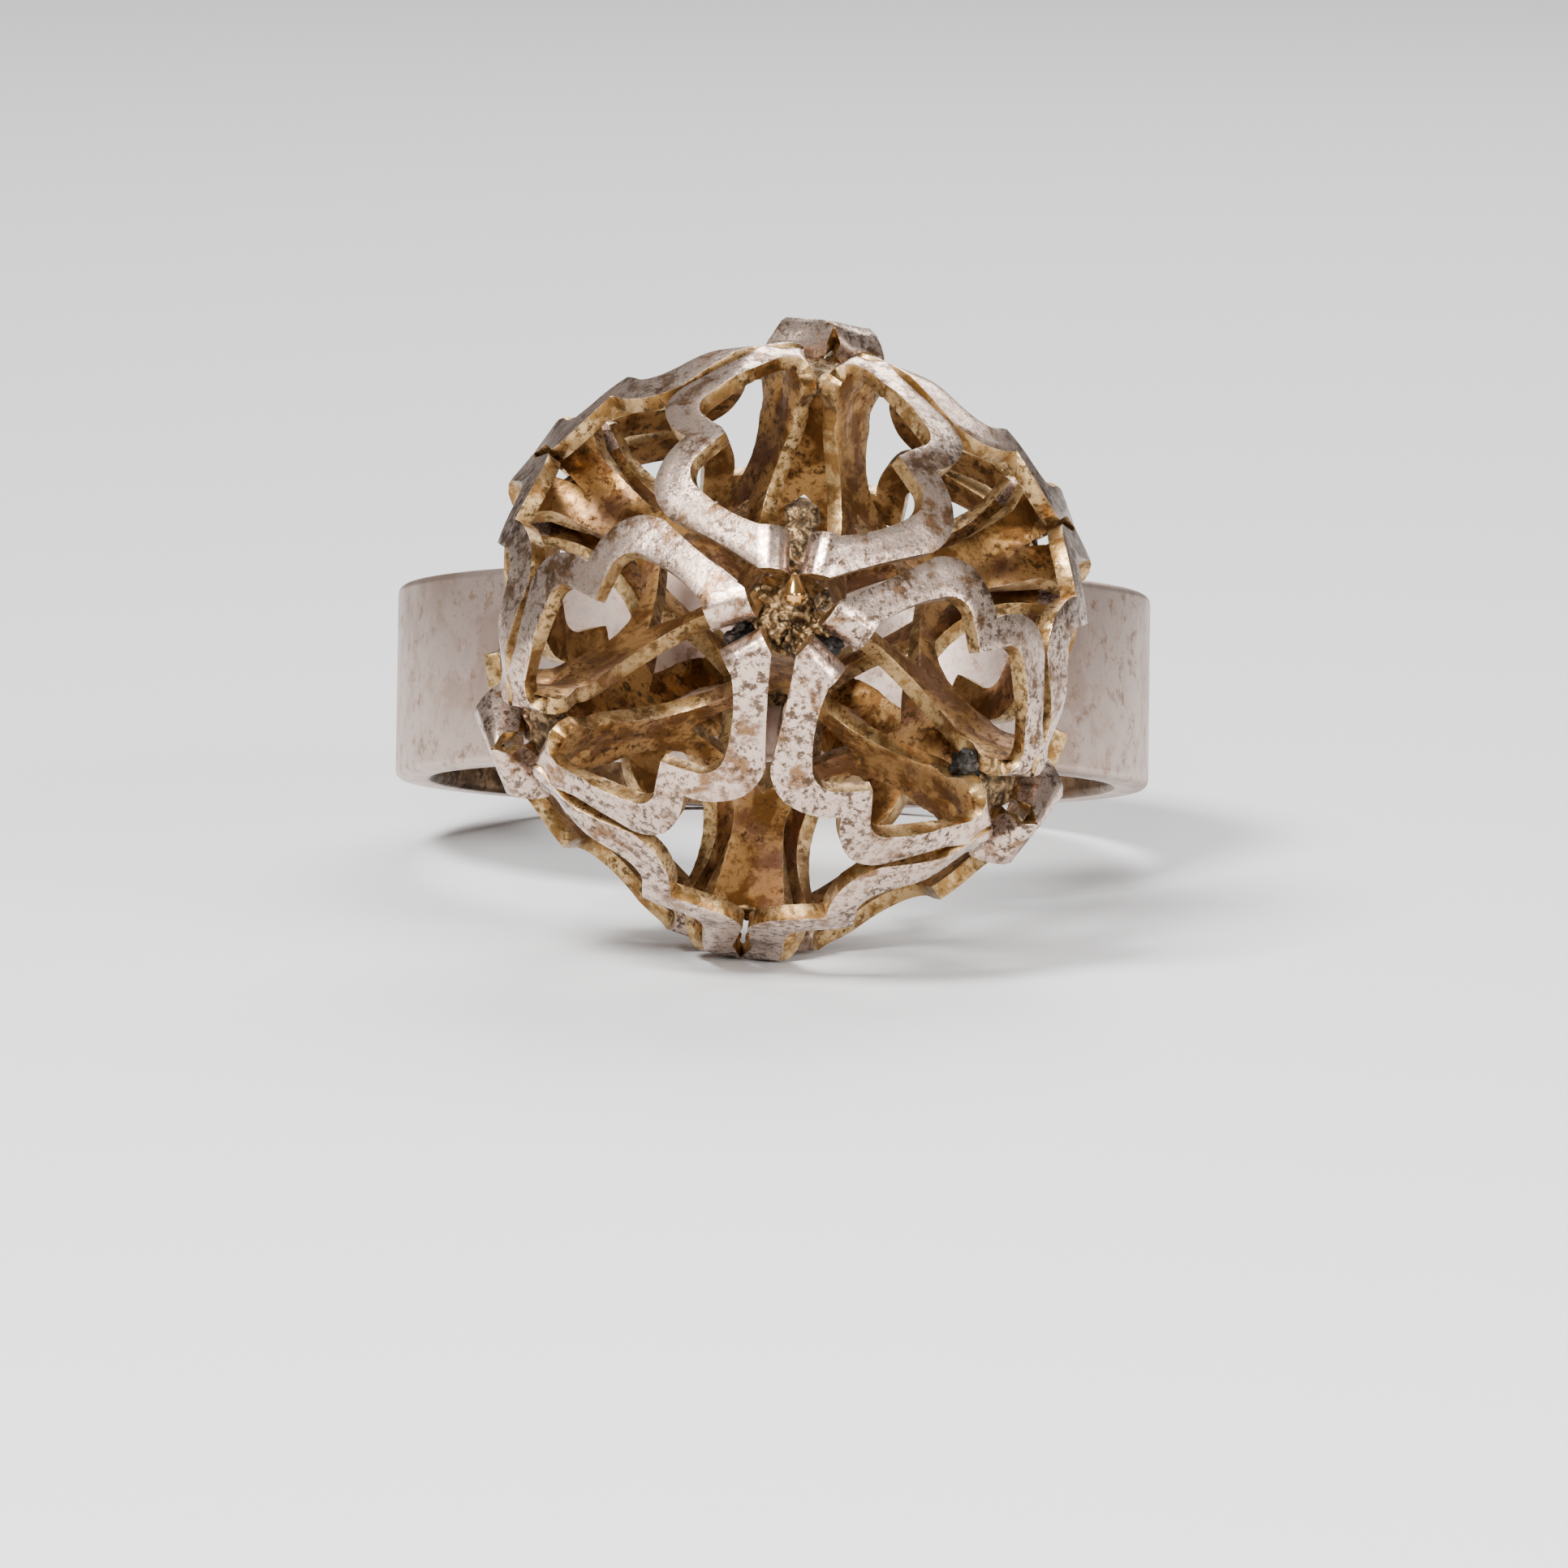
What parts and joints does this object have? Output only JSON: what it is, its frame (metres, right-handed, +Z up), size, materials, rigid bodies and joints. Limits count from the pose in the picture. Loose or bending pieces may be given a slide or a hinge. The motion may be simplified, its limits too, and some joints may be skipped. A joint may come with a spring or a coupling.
{
  "type": "openwork ball finger ring",
  "caption": "Plain flat silver finger ring with a large openwork ball of pierced rosettes and folded heart-shaped bands, lying on its side.",
  "frame": {"origin": "on the floor, under the middle of the ring's bounding box, with the ring lying on its side", "axes": "+Z up, +Y from the ball towards the shank, +X across the shank; the finger passes nearly along Z"},
  "size_m": [0.0195, 0.0346, 0.0159],
  "materials": {
    "ring_silver": "old silver, satin, tarnished",
    "shank_silver": "old silver, satin, softly stained brown",
    "band_silver": "old silver, grained, with dark speckles and burnished edges",
    "plate_silver": "old silver, satin, toned golden brown",
    "solder": "silver solder, rough, grey-brown"
  },
  "bodies": {
    "root": {"ring": "ring_silver"}
  },
  "joints": []
}
